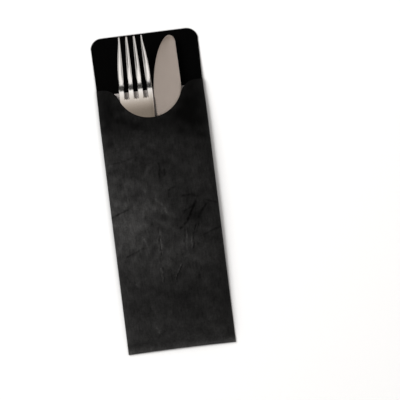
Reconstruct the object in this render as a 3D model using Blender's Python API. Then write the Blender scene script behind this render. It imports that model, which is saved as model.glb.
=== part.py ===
# A paper cutlery pouch that lies on its back, with a folded napkin, a table fork and a table
# knife in it. Metres, +Z up, +Y towards the open end. The origin is on the surface that the
# pouch lies on, under the middle of its length and width.

import math

import bmesh
import bpy
import numpy as np

# Gap left between two pieces that touch
CLEARANCE = 0.0003

# Edges that bend more than this stay crisp
CRISP_ANGLE = math.radians(35)

# Pouch: one folded sheet with a scooped front panel and a longer back panel
POUCH_WIDTH = 0.085
POUCH_LENGTH = 0.250
SHEET = 0.00025
LIP_LENGTH = 0.041
LIP_CORNER_RADIUS = 0.009
SCOOP_RADIUS = 0.0263
SCOOP_DEPTH = 0.025
SCOOP_FLARE_RADIUS = 0.014
SCOOP_OFFSET = -0.0009
SCOOP_FINE_REACH = 0.0047
SEAM_WIDTH = 0.012
FLAP_LENGTH = 0.018
FLAP_INSET = 0.001
GLUE_BITE = 0.5
WAIST = 0.00035
WAIST_REACH = 0.030
SIDE_LIFT = 0.0022
SIDE_LIFT_POWER = 3.0
FOLD_GAP = 0.00006
PACK_POWER = 10.0
BULGE_POWER = 2.4
SLACK = 0.0006

# Napkin: a square sheet folded in half and then in five
NAPKIN_PANELS = 5
NAPKIN_LAYER = 0.0002
NAPKIN_TOP_BELOW_SHOULDER = 0.0038
NAPKIN_END_ABOVE_BOTTOM = 0.0152

# Fork, measured along its own length from the end of the handle
FORK_TIP_BELOW_LIP = 0.0016
FORK_END_ABOVE_BOTTOM = 0.0434
FORK_HEAD_X = -0.0114
FORK_LEAN = math.radians(-1.17)
FORK_HEAD_WIDTH = 0.0269
FORK_TIPS_WIDTH = 0.0189
FORK_NECK_WIDTH = 0.0066
FORK_TAPER_WIDTH = 0.0082
FORK_HANDLE_WIDTH = 0.0200
FORK_HANDLE_END_RADIUS = 0.0090
FORK_HANDLE_PARALLEL = 0.0180
FORK_TINE_LENGTH = 0.0487
FORK_PALM_LENGTH = 0.0200
FORK_SHOULDER_LENGTH = 0.0300
FORK_SLOT_PITCH_ROOT = 0.0075
FORK_SLOT_PITCH_TIP = 0.0059
FORK_SLOT_WIDTH_ROOT = 0.0031
FORK_SLOT_WIDTH_TIP = 0.0042
FORK_SLOT_WIDENING_POWER = 3
FORK_SLOT_CORNER = 0.0008
FORK_SLOT_CORNER_SHARE = 0.25
FORK_TINE_COUNT = 4
FORK_TINE_THICKNESS = 0.0013
FORK_ROOT_THICKNESS = 0.0022
FORK_NECK_THICKNESS = 0.0032
FORK_HANDLE_THICKNESS = 0.0026
FORK_EDGE_SHARE = 0.5
FORK_EDGE_STRIP = 0.22
FORK_EDGE_POWER = 6
FORK_NECK_RISE = 0.0052
FORK_PALM_RISE = 0.0016
FORK_TIP_RISE = 0.0058
FORK_TIP_SLOPE = 0.12
FORK_TIP_RUN_ON = 0.0070
FORK_DISH = 0.0008
FORK_LEVEL_FROM_ROOT = 0.0061

# The fork's outline: shares of the handle and of the tines along its length, and the share
# of the head's width there
FORK_TAPER_PLACE = 0.80
FORK_PALM_SHARE = 0.96
FORK_TINES_MIDDLE = 0.50
FORK_TINES_MIDDLE_SHARE = 0.92
FORK_TINES_BEND = 0.71
FORK_TINES_BEND_SHARE = 0.84

# Knife, measured along its own length from the end of the handle
KNIFE_TIP_BELOW_LIP = 0.0036
KNIFE_END_ABOVE_BOTTOM = 0.0244
KNIFE_SPINE_X = 0.0243
KNIFE_LEAN = math.radians(0.72)
KNIFE_BLADE_WIDTH = 0.0222
KNIFE_BLADE_LENGTH = 0.110
KNIFE_BELLY_LENGTH = 0.0517
KNIFE_BELLY_POWER = 1.85
KNIFE_PEAK_FROM_SPINE = 0.0047
KNIFE_CORNER_LENGTH = 0.0052
KNIFE_HEEL_NARROWING = 0.0021
KNIFE_HEEL_LENGTH = 0.0070
KNIFE_SPINE_THICKNESS = 0.0018
KNIFE_EDGE_THICKNESS = 0.0005
KNIFE_HANDLE_WIDTH = 0.0180
KNIFE_NECK_WIDTH = 0.0110
KNIFE_AXIS_FROM_SPINE = 0.0086
KNIFE_HANDLE_THICKNESS = 0.0060
KNIFE_HANDLE_END_THICKNESS = 0.0042
KNIFE_NECK_THICKNESS = 0.0040
KNIFE_HANDLE_END_RADIUS = 0.0080
KNIFE_HANDLE_PARALLEL = 0.0240

# Facets
SCOOP_CELLS = 16
SHOULDER_CELLS = 3
POUCH_ROWS = 24
LIP_ROWS = 3
LIP_CORNER_ROWS = 5
NAPKIN_ROWS = 14
NAPKIN_CELLS = 16
TINE_ROWS = 13
PALM_ROWS = 4
SHOULDER_ROWS = 6
FORK_HANDLE_ROWS = 13
ROUND_END_ROWS = 5
KNIFE_CELLS = 10
BELLY_ROWS = 14
BLADE_ROWS = 5
HEEL_ROWS = 5
KNIFE_HANDLE_ROWS = 10
END_ROW_SHARE = 0.01

# Levels and places that follow from the sizes above
BOTTOM_Y = -POUCH_LENGTH / 2
LIP_Y = POUCH_LENGTH / 2
SHOULDER_Y = LIP_Y - LIP_LENGTH
SCOOP_CENTRE_Y = SHOULDER_Y - SCOOP_DEPTH + SCOOP_RADIUS
NAPKIN_TOP_Y = SHOULDER_Y - NAPKIN_TOP_BELOW_SHOULDER
NAPKIN_END_Y = BOTTOM_Y + NAPKIN_END_ABOVE_BOTTOM
NAPKIN_LENGTH = NAPKIN_TOP_Y - NAPKIN_END_Y
NAPKIN_SHEET_SIDE = 2 * NAPKIN_LENGTH
NAPKIN_WIDTH = NAPKIN_SHEET_SIDE / NAPKIN_PANELS
NAPKIN_THICKNESS = 2 * NAPKIN_PANELS * NAPKIN_LAYER
FLOOR_Z = 2 * SHEET
NAPKIN_Z = FLOOR_Z + CLEARANCE
CUTLERY_Z = NAPKIN_Z + NAPKIN_THICKNESS + CLEARANCE
FORK_LENGTH = POUCH_LENGTH - FORK_TIP_BELOW_LIP - FORK_END_ABOVE_BOTTOM
FORK_END_Y = LIP_Y - FORK_TIP_BELOW_LIP - FORK_LENGTH * math.cos(FORK_LEAN)
FORK_ROOT = FORK_LENGTH - FORK_TINE_LENGTH
FORK_PALM = FORK_ROOT - FORK_PALM_LENGTH
FORK_NECK = FORK_PALM - FORK_SHOULDER_LENGTH
FORK_LEVEL = FORK_ROOT + FORK_LEVEL_FROM_ROOT
KNIFE_LENGTH = POUCH_LENGTH - KNIFE_TIP_BELOW_LIP - KNIFE_END_ABOVE_BOTTOM
KNIFE_END_Y = LIP_Y - KNIFE_TIP_BELOW_LIP - KNIFE_LENGTH * math.cos(KNIFE_LEAN)
KNIFE_HEEL = KNIFE_LENGTH - KNIFE_BLADE_LENGTH
KNIFE_BELLY = KNIFE_LENGTH - KNIFE_BELLY_LENGTH
KNIFE_WAIST_V = KNIFE_HEEL / 2
KNIFE_TIP_DROP = (KNIFE_HANDLE_THICKNESS - KNIFE_SPINE_THICKNESS) / 2
KNIFE_TILT = math.atan2(KNIFE_TIP_DROP, KNIFE_LENGTH - KNIFE_WAIST_V)
KNIFE_END_LIFT = KNIFE_WAIST_V * math.sin(KNIFE_TILT)


def smooth_step(low, high, at):
    share = np.clip((np.asarray(at) - low) / (high - low), 0.0, 1.0)
    return share * share * (3.0 - 2.0 * share)


# A smooth curve through stations of place and value, which never overshoots them: cubic
# pieces whose slope at a station is the harmonic mean of its neighbours, or level at a peak.
def curve_through(stations, at):
    place, value = np.array(stations, float).T
    step = np.diff(place)
    rise = np.diff(value) / step
    slope = np.zeros(len(place))
    same_way = rise[:-1] * rise[1:] > 0.0
    pair = np.where(same_way, rise[:-1] + rise[1:], 1.0)
    slope[1:-1] = np.where(same_way, 2.0 * rise[:-1] * rise[1:] / pair, 0.0)
    at = np.clip(np.asarray(at, float), place[0], place[-1])
    piece = np.clip(np.searchsorted(place, at, side="right") - 1, 0, len(step) - 1)
    share = (at - place[piece]) / step[piece]
    start = value[piece] + step[piece] * slope[piece] * share * (1.0 - share) ** 2
    end = step[piece] * slope[piece + 1] * share**2 * (share - 1.0)
    blend = share * share * (3.0 - 2.0 * share)
    return start + (value[piece + 1] - value[piece]) * blend + end


# Half the width of a round handle end: a quarter circle out to the radius, then 1.
def round_end(at, radius):
    left = np.clip(1.0 - np.asarray(at) / radius, 0.0, 1.0)
    return np.sqrt(1.0 - left * left)


# Places along a round end, closer together where it turns fastest.
def round_end_rows(radius, count):
    turn = np.linspace(0.0, math.pi / 2, count + 1)[:-1]
    return radius * (1.0 - np.cos(turn))


def clear_scene():
    for thing in list(bpy.data.objects):
        bpy.data.objects.remove(thing, do_unlink=True)


def material(name, colour, roughness, metallic=0.0):
    made = bpy.data.materials.new(name)
    made.use_nodes = True
    shader = made.node_tree.nodes["Principled BSDF"]
    shader.inputs["Base Color"].default_value = (*colour, 1.0)
    shader.inputs["Roughness"].default_value = roughness
    shader.inputs["Metallic"].default_value = metallic
    return made


def object_from(name, points, faces, finish):
    mesh = bpy.data.meshes.new(name)
    mesh.from_pydata([tuple(map(float, point)) for point in points], [], faces)
    mesh.validate()
    mesh.shade_smooth()
    mesh.set_sharp_from_angle(angle=CRISP_ANGLE)
    made = bpy.data.objects.new(name, mesh)
    bpy.context.collection.objects.link(made)
    if finish:
        made.data.materials.append(finish)
    return made


# A solid between a top and a bottom height over the same grid of places. Cells that are
# not present are open, and a wall closes every edge that then lies free.
def plate(name, x, y, top, bottom, present, finish):
    rows, columns = x.shape
    upper = np.arange(rows * columns).reshape(rows, columns)
    lower = upper + rows * columns
    faces = []
    for row in range(rows - 1):
        for column in range(columns - 1):
            if not present[row, column]:
                continue
            corners = (
                (row, column),
                (row, column + 1),
                (row + 1, column + 1),
                (row + 1, column),
            )
            beside = (
                (row - 1, column),
                (row, column + 1),
                (row + 1, column),
                (row, column - 1),
            )
            faces.append([int(upper[corner]) for corner in corners])
            faces.append([int(lower[corner]) for corner in reversed(corners)])
            for side, (other_row, other_column) in enumerate(beside):
                inside = 0 <= other_row < rows - 1 and 0 <= other_column < columns - 1
                if inside and present[other_row, other_column]:
                    continue
                start = corners[side]
                end = corners[(side + 1) % len(corners)]
                wall = (upper[end], upper[start], lower[start], lower[end])
                faces.append([int(index) for index in wall])
    points = np.concatenate(
        [
            np.stack([x, y, top], axis=-1).reshape(-1, 3),
            np.stack([x, y, bottom], axis=-1).reshape(-1, 3),
        ]
    )
    used = sorted({index for face in faces for index in face})
    place = {old: new for new, old in enumerate(used)}
    faces = [[place[index] for index in face] for face in faces]
    return object_from(name, points[used], faces, finish)


# Half the pouch's width: the sides draw in a little at the mouth, where the pouch is held
# open.
def pouch_half_width(y):
    draw = 1.0 - smooth_step(0.0, WAIST_REACH, np.abs(np.asarray(y) - SHOULDER_Y))
    return POUCH_WIDTH / 2 - WAIST * draw


# How far the back panel is off the flat: nothing in the middle and at both ends, most
# along the side folds.
def back_lift(x, y):
    share = np.abs(x) / (POUCH_WIDTH / 2)
    along = smooth_step(BOTTOM_Y + FLAP_LENGTH, NAPKIN_TOP_Y - NAPKIN_LENGTH / 2, y)
    fade = 1.0 - smooth_step(SHOULDER_Y - LIP_LENGTH, LIP_Y - LIP_CORNER_RADIUS, y)
    return SIDE_LIFT * along * fade * share**SIDE_LIFT_POWER


# Share of the cutlery's bulge at a place across the pouch: 1 in the middle, 0 at a fold.
def bulge_share(x):
    share = np.clip(np.abs(x) / (POUCH_WIDTH / 2 - SHEET), 0.0, 1.0)
    return 1.0 - share**BULGE_POWER


# Space between the two panels. The napkin's pack keeps them a little apart nearly out to
# the folds, and the cutlery on it lifts the front panel in a round bulge.
def panel_gap(x, y):
    share = np.clip(np.abs(x) / (POUCH_WIDTH / 2 - SHEET), 0.0, 1.0)
    pack_height = NAPKIN_THICKNESS + 2 * CLEARANCE + SLACK
    before_pack = np.clip((NAPKIN_END_Y - np.asarray(y)) / (NAPKIN_END_Y - BOTTOM_Y), 0.0, 1.0)
    pack = pack_height * (1.0 - before_pack * before_pack)
    knife_x = KNIFE_SPINE_X - KNIFE_AXIS_FROM_SPINE
    over_knife = CLEARANCE + KNIFE_HANDLE_THICKNESS
    end_top = (KNIFE_HANDLE_THICKNESS + KNIFE_HANDLE_END_THICKNESS) / 2
    over_knife_end = CLEARANCE + KNIFE_END_LIFT + end_top
    over_neck = CLEARANCE + FORK_NECK_RISE + FORK_NECK_THICKNESS
    over_palm = CLEARANCE + FORK_PALM_RISE + FORK_ROOT_THICKNESS + FORK_DISH
    over_mouth = (over_neck + over_palm) / 2
    at_knife = bulge_share(knife_x)
    at_fork = bulge_share(FORK_HEAD_X)
    bulge = curve_through(
        [
            (BOTTOM_Y, 0.0),
            (KNIFE_END_Y, (over_knife_end + SLACK) / at_knife),
            (KNIFE_END_Y / 2, (over_knife + 2 * SLACK) / at_knife),
            (FORK_END_Y + FORK_NECK, (over_neck + SLACK) / at_fork),
            (SHOULDER_Y - SCOOP_DEPTH, (over_mouth + 2 * SLACK) / at_fork),
            (LIP_Y, over_palm + SLACK),
        ],
        y,
    )
    return FOLD_GAP + pack * (1.0 - share**PACK_POWER) + bulge * bulge_share(x)


# The front panel's free edge: an arc for the scoop, a flare that bends the other way and
# then the straight shoulder.
def scoop_edge(x):
    across = np.abs(x - SCOOP_OFFSET)
    drop = SCOOP_CENTRE_Y - (SHOULDER_Y - SCOOP_FLARE_RADIUS)
    reach = SCOOP_RADIUS + SCOOP_FLARE_RADIUS
    flare_x = math.sqrt(reach * reach - drop * drop)
    meeting_x = flare_x * SCOOP_RADIUS / reach
    arc = SCOOP_CENTRE_Y - np.sqrt(np.clip(SCOOP_RADIUS**2 - across**2, 0.0, None))
    turned = np.sqrt(np.clip(SCOOP_FLARE_RADIUS**2 - (flare_x - across) ** 2, 0.0, None))
    flare = SHOULDER_Y - SCOOP_FLARE_RADIUS + turned
    inner = np.where(across < meeting_x, arc, flare)
    return np.where(across < flare_x, inner, SHOULDER_Y)


def back_outside(x, y):
    return SHEET + back_lift(x, y)


def back_inside(x, y):
    return FLOOR_Z + back_lift(x, y)


def front_inside(x, y):
    return back_inside(x, y) + panel_gap(x, y)


def front_outside(x, y):
    return front_inside(x, y) + SHEET


# Places across a panel from fold to fold as shares of its half width, finer by the folds.
def pouch_columns():
    scoop_share = (SCOOP_RADIUS + SCOOP_FINE_REACH) / (POUCH_WIDTH / 2)
    middle = np.linspace(-scoop_share, scoop_share, SCOOP_CELLS + 1)
    turn = np.linspace(0.0, math.pi / 2, SHOULDER_CELLS + 1)[1:]
    side = scoop_share + (1.0 - scoop_share) * np.sin(turn)
    return np.concatenate([-side[::-1], middle, side])


# Faces between two rows of points, column by column.
def strip(first, second):
    return [
        [first[near], first[near + 1], second[near + 1], second[near]]
        for near in range(len(first) - 1)
    ]


# Faces between two closed rings of points.
def ring_strip(first, second):
    return strip([*first, first[0]], [*second, second[0]])


# The folded sheet: rings of points up the tube, outside and inside, then the lip's rows.
def pouch_sheet(finish):
    share = pouch_columns()
    points = []
    faces = []

    def add(x, y, z):
        points.append((x, y, z))
        return len(points) - 1

    def row_of(x, y, height):
        return [add(*place) for place in zip(x, y, height(x, y))]

    rows = []
    start_y = BOTTOM_Y + SHEET
    for step in np.linspace(0.0, 1.0, POUCH_ROWS + 1):
        fold_y = start_y + step * (SHOULDER_Y - start_y)
        half = float(pouch_half_width(fold_y))
        x = share * (half - SHEET)
        back_y = np.full(len(x), fold_y)
        front_y = start_y + step * (scoop_edge(x) - start_y)
        front_y[[0, -1]] = fold_y
        nose_z = float(back_outside(half, fold_y)) + SHEET + FOLD_GAP / 2
        rows.append(
            {
                "front_out": row_of(x, front_y, front_outside),
                "front_in": row_of(x, front_y, front_inside),
                "back_out": row_of(x, back_y, back_outside),
                "back_in": row_of(x, back_y, back_inside),
                "left_nose": add(-half, fold_y, nose_z),
                "right_nose": add(half, fold_y, nose_z),
            }
        )
    outer = [
        [row["left_nose"], *row["front_out"], row["right_nose"], *row["back_out"][::-1]]
        for row in rows
    ]
    inner = [[*row["front_in"], *row["back_in"][::-1]] for row in rows]
    for low, high in zip(outer, outer[1:]):
        faces += ring_strip(low, high)
    for low, high in zip(inner, inner[1:]):
        faces += ring_strip(high, low)

    # Bottom crease: the sheet turns round a line, and the inside closes behind it
    bottom = rows[0]
    crease_z = 2 * SHEET + FOLD_GAP / 2
    crease = [add(x, BOTTOM_Y, crease_z) for x in share * (POUCH_WIDTH / 2 - SHEET)]
    faces += strip(crease, bottom["front_out"])
    faces += strip(bottom["back_out"], crease)
    faces += strip(bottom["front_in"], bottom["back_in"])
    faces.append([bottom["left_nose"], crease[0], bottom["front_out"][0]])
    faces.append([bottom["left_nose"], bottom["back_out"][0], crease[0]])
    faces.append([bottom["right_nose"], bottom["front_out"][-1], crease[-1]])
    faces.append([bottom["right_nose"], crease[-1], bottom["back_out"][-1]])

    # Mouth: the front panel's cut edge and the ends of the two folds
    mouth = rows[-1]
    layers = ("front_out", "front_in", "back_in", "back_out")
    faces += strip(mouth["front_out"], mouth["front_in"])
    faces.append([mouth["left_nose"], *(mouth[layer][0] for layer in layers)])
    faces.append([*(mouth[layer][-1] for layer in reversed(layers)), mouth["right_nose"]])

    # Lip: the back panel runs on past the folds to its rounded corners
    corner_y = LIP_Y - LIP_CORNER_RADIUS
    turn = np.linspace(0.0, math.pi / 2, LIP_CORNER_ROWS + 1)[1:]
    corner_inset = LIP_CORNER_RADIUS * (1.0 - np.cos(turn))
    straight = np.linspace(SHOULDER_Y, corner_y, LIP_ROWS + 1)[1:]
    lip_y = np.concatenate([straight, corner_y + LIP_CORNER_RADIUS * np.sin(turn)])
    lip_half = np.concatenate([pouch_half_width(straight) - SHEET, POUCH_WIDTH / 2 - corner_inset])
    below_out = mouth["back_out"]
    below_in = mouth["back_in"]
    for y, half in zip(lip_y, lip_half):
        x = share * half
        out = row_of(x, np.full(len(x), y), back_outside)
        into = row_of(x, np.full(len(x), y), back_inside)
        faces += strip(out, below_out)
        faces += strip(below_in, into)
        faces.append([below_out[0], below_in[0], into[0], out[0]])
        faces.append([below_in[-1], below_out[-1], out[-1], into[-1]])
        below_out = out
        below_in = into
    faces += strip(below_in, below_out)
    return object_from("pouch", points, faces, finish)


# The second layer under the back panel: the lap of the middle seam and the bottom flap,
# one T-shaped slab that is glued on, so it is joined to the sheet.
def glued_overlaps():
    half_seam = SEAM_WIDTH / 2
    half_flap = POUCH_WIDTH / 2 - FLAP_INSET
    low_y = BOTTOM_Y + SHEET
    flap_y = BOTTOM_Y + FLAP_LENGTH
    high_y = LIP_Y - SHEET
    outline = (
        (-half_flap, low_y),
        (half_flap, low_y),
        (half_flap - FLAP_INSET, flap_y),
        (half_seam, flap_y),
        (half_seam, high_y),
        (-half_seam, high_y),
        (-half_seam, flap_y),
        (-half_flap + FLAP_INSET, flap_y),
    )
    shape = bmesh.new()
    base = shape.faces.new([shape.verts.new((x, y, 0.0)) for x, y in outline])
    raised = bmesh.ops.extrude_face_region(shape, geom=[base])
    moved = [part for part in raised["geom"] if isinstance(part, bmesh.types.BMVert)]
    bmesh.ops.translate(shape, verts=moved, vec=(0.0, 0.0, (1.0 + GLUE_BITE) * SHEET))
    bmesh.ops.recalc_face_normals(shape, faces=shape.faces)
    mesh = bpy.data.meshes.new("glued_overlaps")
    shape.to_mesh(mesh)
    shape.free()
    made = bpy.data.objects.new("glued_overlaps", mesh)
    bpy.context.collection.objects.link(made)
    made.hide_render = True
    made.display_type = "WIRE"
    return made


def make_pouch(finish):
    pouch = pouch_sheet(finish)
    join = pouch.modifiers.new("glue the overlaps on", "BOOLEAN")
    join.operation = "UNION"
    join.solver = "EXACT"
    join.object = glued_overlaps()
    return pouch


# The folded napkin: a flat pack that follows the back panel, with a round fold for each of
# its panels along both long sides.
def make_napkin(finish):
    fold_radius = NAPKIN_THICKNESS / NAPKIN_PANELS / 2
    half = NAPKIN_WIDTH / 2 - fold_radius
    x = np.linspace(-half, half, NAPKIN_CELLS + 1)
    levels = np.arange(1, 2 * NAPKIN_PANELS) * fold_radius
    swell = np.where(np.arange(1, 2 * NAPKIN_PANELS) % 2, fold_radius, 0.0)
    points = []
    rings = []
    for y in np.linspace(NAPKIN_END_Y, NAPKIN_TOP_Y, NAPKIN_ROWS + 1):
        under = back_inside(x, y) + CLEARANCE
        ring = [(px, y, pz) for px, pz in zip(x, under)]
        ring += [(half + out, y, under[-1] + up) for out, up in zip(swell, levels)]
        ring += [(px, y, pz + NAPKIN_THICKNESS) for px, pz in zip(x[::-1], under[::-1])]
        ring += [(-half - out, y, under[0] + up) for out, up in zip(swell, levels[::-1])]
        rings.append(range(len(points), len(points) + len(ring)))
        points += ring
    faces = [list(rings[0]), list(rings[-1])[::-1]]
    for low, high in zip(rings, rings[1:]):
        for near in range(len(low)):
            far = (near + 1) % len(low)
            faces.append([low[far], low[near], high[near], high[far]])
    return object_from("napkin", points, faces, finish)


def fork_half_width(v):
    half_head = FORK_HEAD_WIDTH / 2
    outline = curve_through(
        [
            (0.0, FORK_HANDLE_WIDTH / 2),
            (FORK_HANDLE_PARALLEL, FORK_HANDLE_WIDTH / 2),
            (FORK_NECK * FORK_TAPER_PLACE, FORK_TAPER_WIDTH / 2),
            (FORK_NECK, FORK_NECK_WIDTH / 2),
            (FORK_PALM, half_head * FORK_PALM_SHARE),
            (FORK_ROOT, half_head),
            (FORK_ROOT + FORK_TINE_LENGTH * FORK_TINES_MIDDLE, half_head * FORK_TINES_MIDDLE_SHARE),
            (FORK_ROOT + FORK_TINE_LENGTH * FORK_TINES_BEND, half_head * FORK_TINES_BEND_SHARE),
            (FORK_LENGTH, FORK_TIPS_WIDTH / 2),
        ],
        v,
    )
    return outline * round_end(v, FORK_HANDLE_END_RADIUS)


def fork_underside(v):
    return curve_through(
        [
            (0.0, 0.0),
            (FORK_HANDLE_END_RADIUS, 0.0),
            (FORK_NECK, FORK_NECK_RISE),
            (FORK_PALM, FORK_PALM_RISE),
            (FORK_LEVEL, 0.0),
            (FORK_LENGTH, FORK_TIP_RISE),
            (FORK_LENGTH + FORK_TIP_RUN_ON, FORK_TIP_RISE + FORK_TIP_RUN_ON * FORK_TIP_SLOPE),
        ],
        v,
    )


def fork_thickness(v):
    return curve_through(
        [
            (0.0, FORK_HANDLE_THICKNESS),
            (FORK_NECK / 2, FORK_HANDLE_THICKNESS),
            (FORK_NECK, FORK_NECK_THICKNESS),
            (FORK_PALM, FORK_ROOT_THICKNESS),
            (FORK_ROOT, FORK_ROOT_THICKNESS),
            (FORK_LENGTH, FORK_TINE_THICKNESS),
        ],
        v,
    )


# Spacing of the slots, which draw together towards the tips, and half the width of a slot,
# which grows.
def fork_slot(v):
    share = np.clip((v - FORK_ROOT) / FORK_TINE_LENGTH, 0.0, 1.0)
    widening = share**FORK_SLOT_WIDENING_POWER
    pitch = FORK_SLOT_PITCH_ROOT + (FORK_SLOT_PITCH_TIP - FORK_SLOT_PITCH_ROOT) * share
    width = FORK_SLOT_WIDTH_ROOT + (FORK_SLOT_WIDTH_TIP - FORK_SLOT_WIDTH_ROOT) * widening
    return pitch, width / 2


# Places across the head at one place along the fork. Each tine has its two edges and a line
# a strip's width in from each, and each slot has two lines between the tines.
def head_columns(v):
    pitch, half_slot = fork_slot(v)
    half_head = fork_half_width(max(v, FORK_ROOT))
    slots = FORK_TINE_COUNT - 1
    bounds = [-half_head]
    for slot in range(slots):
        centre = (slot - (slots - 1) / 2) * pitch
        bounds += [centre - half_slot, centre + half_slot]
    bounds.append(half_head)
    across = []
    for tine in range(FORK_TINE_COUNT):
        low, high = bounds[2 * tine : 2 * tine + 2]
        edge_strip = FORK_EDGE_STRIP * (high - low)
        across += [low, low + edge_strip, high - edge_strip, high]
        if tine < slots:
            next_low = bounds[2 * tine + 2]
            corner = FORK_SLOT_CORNER_SHARE * (next_low - high)
            across += [high + corner, next_low - corner]
    return across


# What each of those places is: the edge or the flat of a tine, or in a slot.
def fork_column_kinds():
    tine = ["edge", "flat", "flat", "edge"]
    slot = ["slot", "slot"]
    return np.array((tine + slot) * (FORK_TINE_COUNT - 1) + tine)


# The fork as a bent plate. Its tines are flat with an edge strip at each side, its slots end
# in a flat with cut corners, and the same columns run down the palm to the handle.
def make_fork(finish):
    rows = np.concatenate(
        [
            round_end_rows(FORK_HANDLE_END_RADIUS, ROUND_END_ROWS),
            np.linspace(FORK_HANDLE_END_RADIUS, FORK_NECK, FORK_HANDLE_ROWS + 1)[:-1],
            np.linspace(FORK_NECK, FORK_PALM, SHOULDER_ROWS + 1)[:-1],
            np.linspace(FORK_PALM, FORK_ROOT, PALM_ROWS + 1)[:-1],
            np.linspace(FORK_ROOT, FORK_LENGTH, TINE_ROWS + 1),
        ]
    )
    rows[0] = FORK_HANDLE_END_RADIUS * END_ROW_SHARE
    root_row = int(np.argmin(np.abs(rows - FORK_ROOT)))
    half = fork_half_width(rows)[:, None]
    half_head = fork_half_width(np.maximum(rows, FORK_ROOT))[:, None]
    across = np.array([head_columns(v) for v in rows]) * half / half_head
    kinds = fork_column_kinds()
    is_edge = kinds == "edge"
    in_slot = kinds == "slot"
    beside_slot = is_edge.copy()
    beside_slot[[0, -1]] = False
    present = np.ones((len(rows) - 1, len(kinds) - 1), bool)
    present[root_row:, in_slot[:-1] | in_slot[1:]] = False
    v = np.repeat(rows[:, None], len(kinds), axis=1)
    v[root_row, beside_slot] += FORK_SLOT_CORNER

    from_middle = np.clip(np.abs(across) / half, 0.0, 1.0)
    to_tines = smooth_step(FORK_ROOT - 2 * FORK_SLOT_WIDTH_ROOT, FORK_ROOT, rows)[:, None]
    palm_shape = 1.0 - (1.0 - FORK_EDGE_SHARE) * from_middle**FORK_EDGE_POWER
    palm_shape = np.where(in_slot, 1.0, palm_shape)
    tine_shape = np.where(is_edge | in_slot, FORK_EDGE_SHARE, 1.0)
    shape = palm_shape * (1.0 - to_tines) + tine_shape * to_tines
    dish_rise = smooth_step(FORK_NECK, FORK_PALM, rows)
    dish_fall = 1.0 - smooth_step(FORK_ROOT, FORK_LENGTH, rows)
    dish = FORK_DISH * (dish_rise * dish_fall)[:, None] * from_middle**2
    thickness = fork_thickness(rows)[:, None]
    centre = fork_underside(rows)[:, None] + thickness / 2 + dish
    top = centre + shape * thickness / 2
    bottom = centre - shape * thickness / 2
    fork = plate("fork", across, v, top, bottom, present, finish)
    fork.rotation_euler.z = FORK_LEAN
    end_x = FORK_HEAD_X + FORK_ROOT * math.sin(FORK_LEAN)
    fork.location = (end_x, FORK_END_Y, CUTLERY_Z)
    return fork


def knife_handle_half(v):
    outline = curve_through(
        [
            (0.0, KNIFE_HANDLE_WIDTH / 2),
            (KNIFE_HANDLE_PARALLEL, KNIFE_HANDLE_WIDTH / 2),
            (KNIFE_HEEL, KNIFE_NECK_WIDTH / 2),
            (KNIFE_LENGTH, KNIFE_NECK_WIDTH / 2),
        ],
        v,
    )
    return outline * round_end(v, KNIFE_HANDLE_END_RADIUS)


# Distance of the cutting edge from the spine's line. The belly is a quarter of a rounded
# curve from the widest place to the peak of the tip.
def knife_edge_reach(v):
    belly = np.clip((v - KNIFE_BELLY) / KNIFE_BELLY_LENGTH, 0.0, 1.0)
    reach = (1.0 - belly**KNIFE_BELLY_POWER) ** (1.0 / KNIFE_BELLY_POWER)
    narrowing = np.clip((KNIFE_BELLY - v) / (KNIFE_BELLY - KNIFE_HEEL), 0.0, 1.0) ** 2
    peak = KNIFE_PEAK_FROM_SPINE
    return peak + (KNIFE_BLADE_WIDTH - peak) * reach - KNIFE_HEEL_NARROWING * narrowing


# Distance of the blade's back from the spine's line: none, up to the round corner.
def knife_spine_inset(v):
    start = KNIFE_LENGTH - KNIFE_CORNER_LENGTH
    turn = np.clip((v - start) / KNIFE_CORNER_LENGTH, 0.0, 1.0)
    return KNIFE_PEAK_FROM_SPINE * (1.0 - np.sqrt(1.0 - turn * turn))


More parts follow.
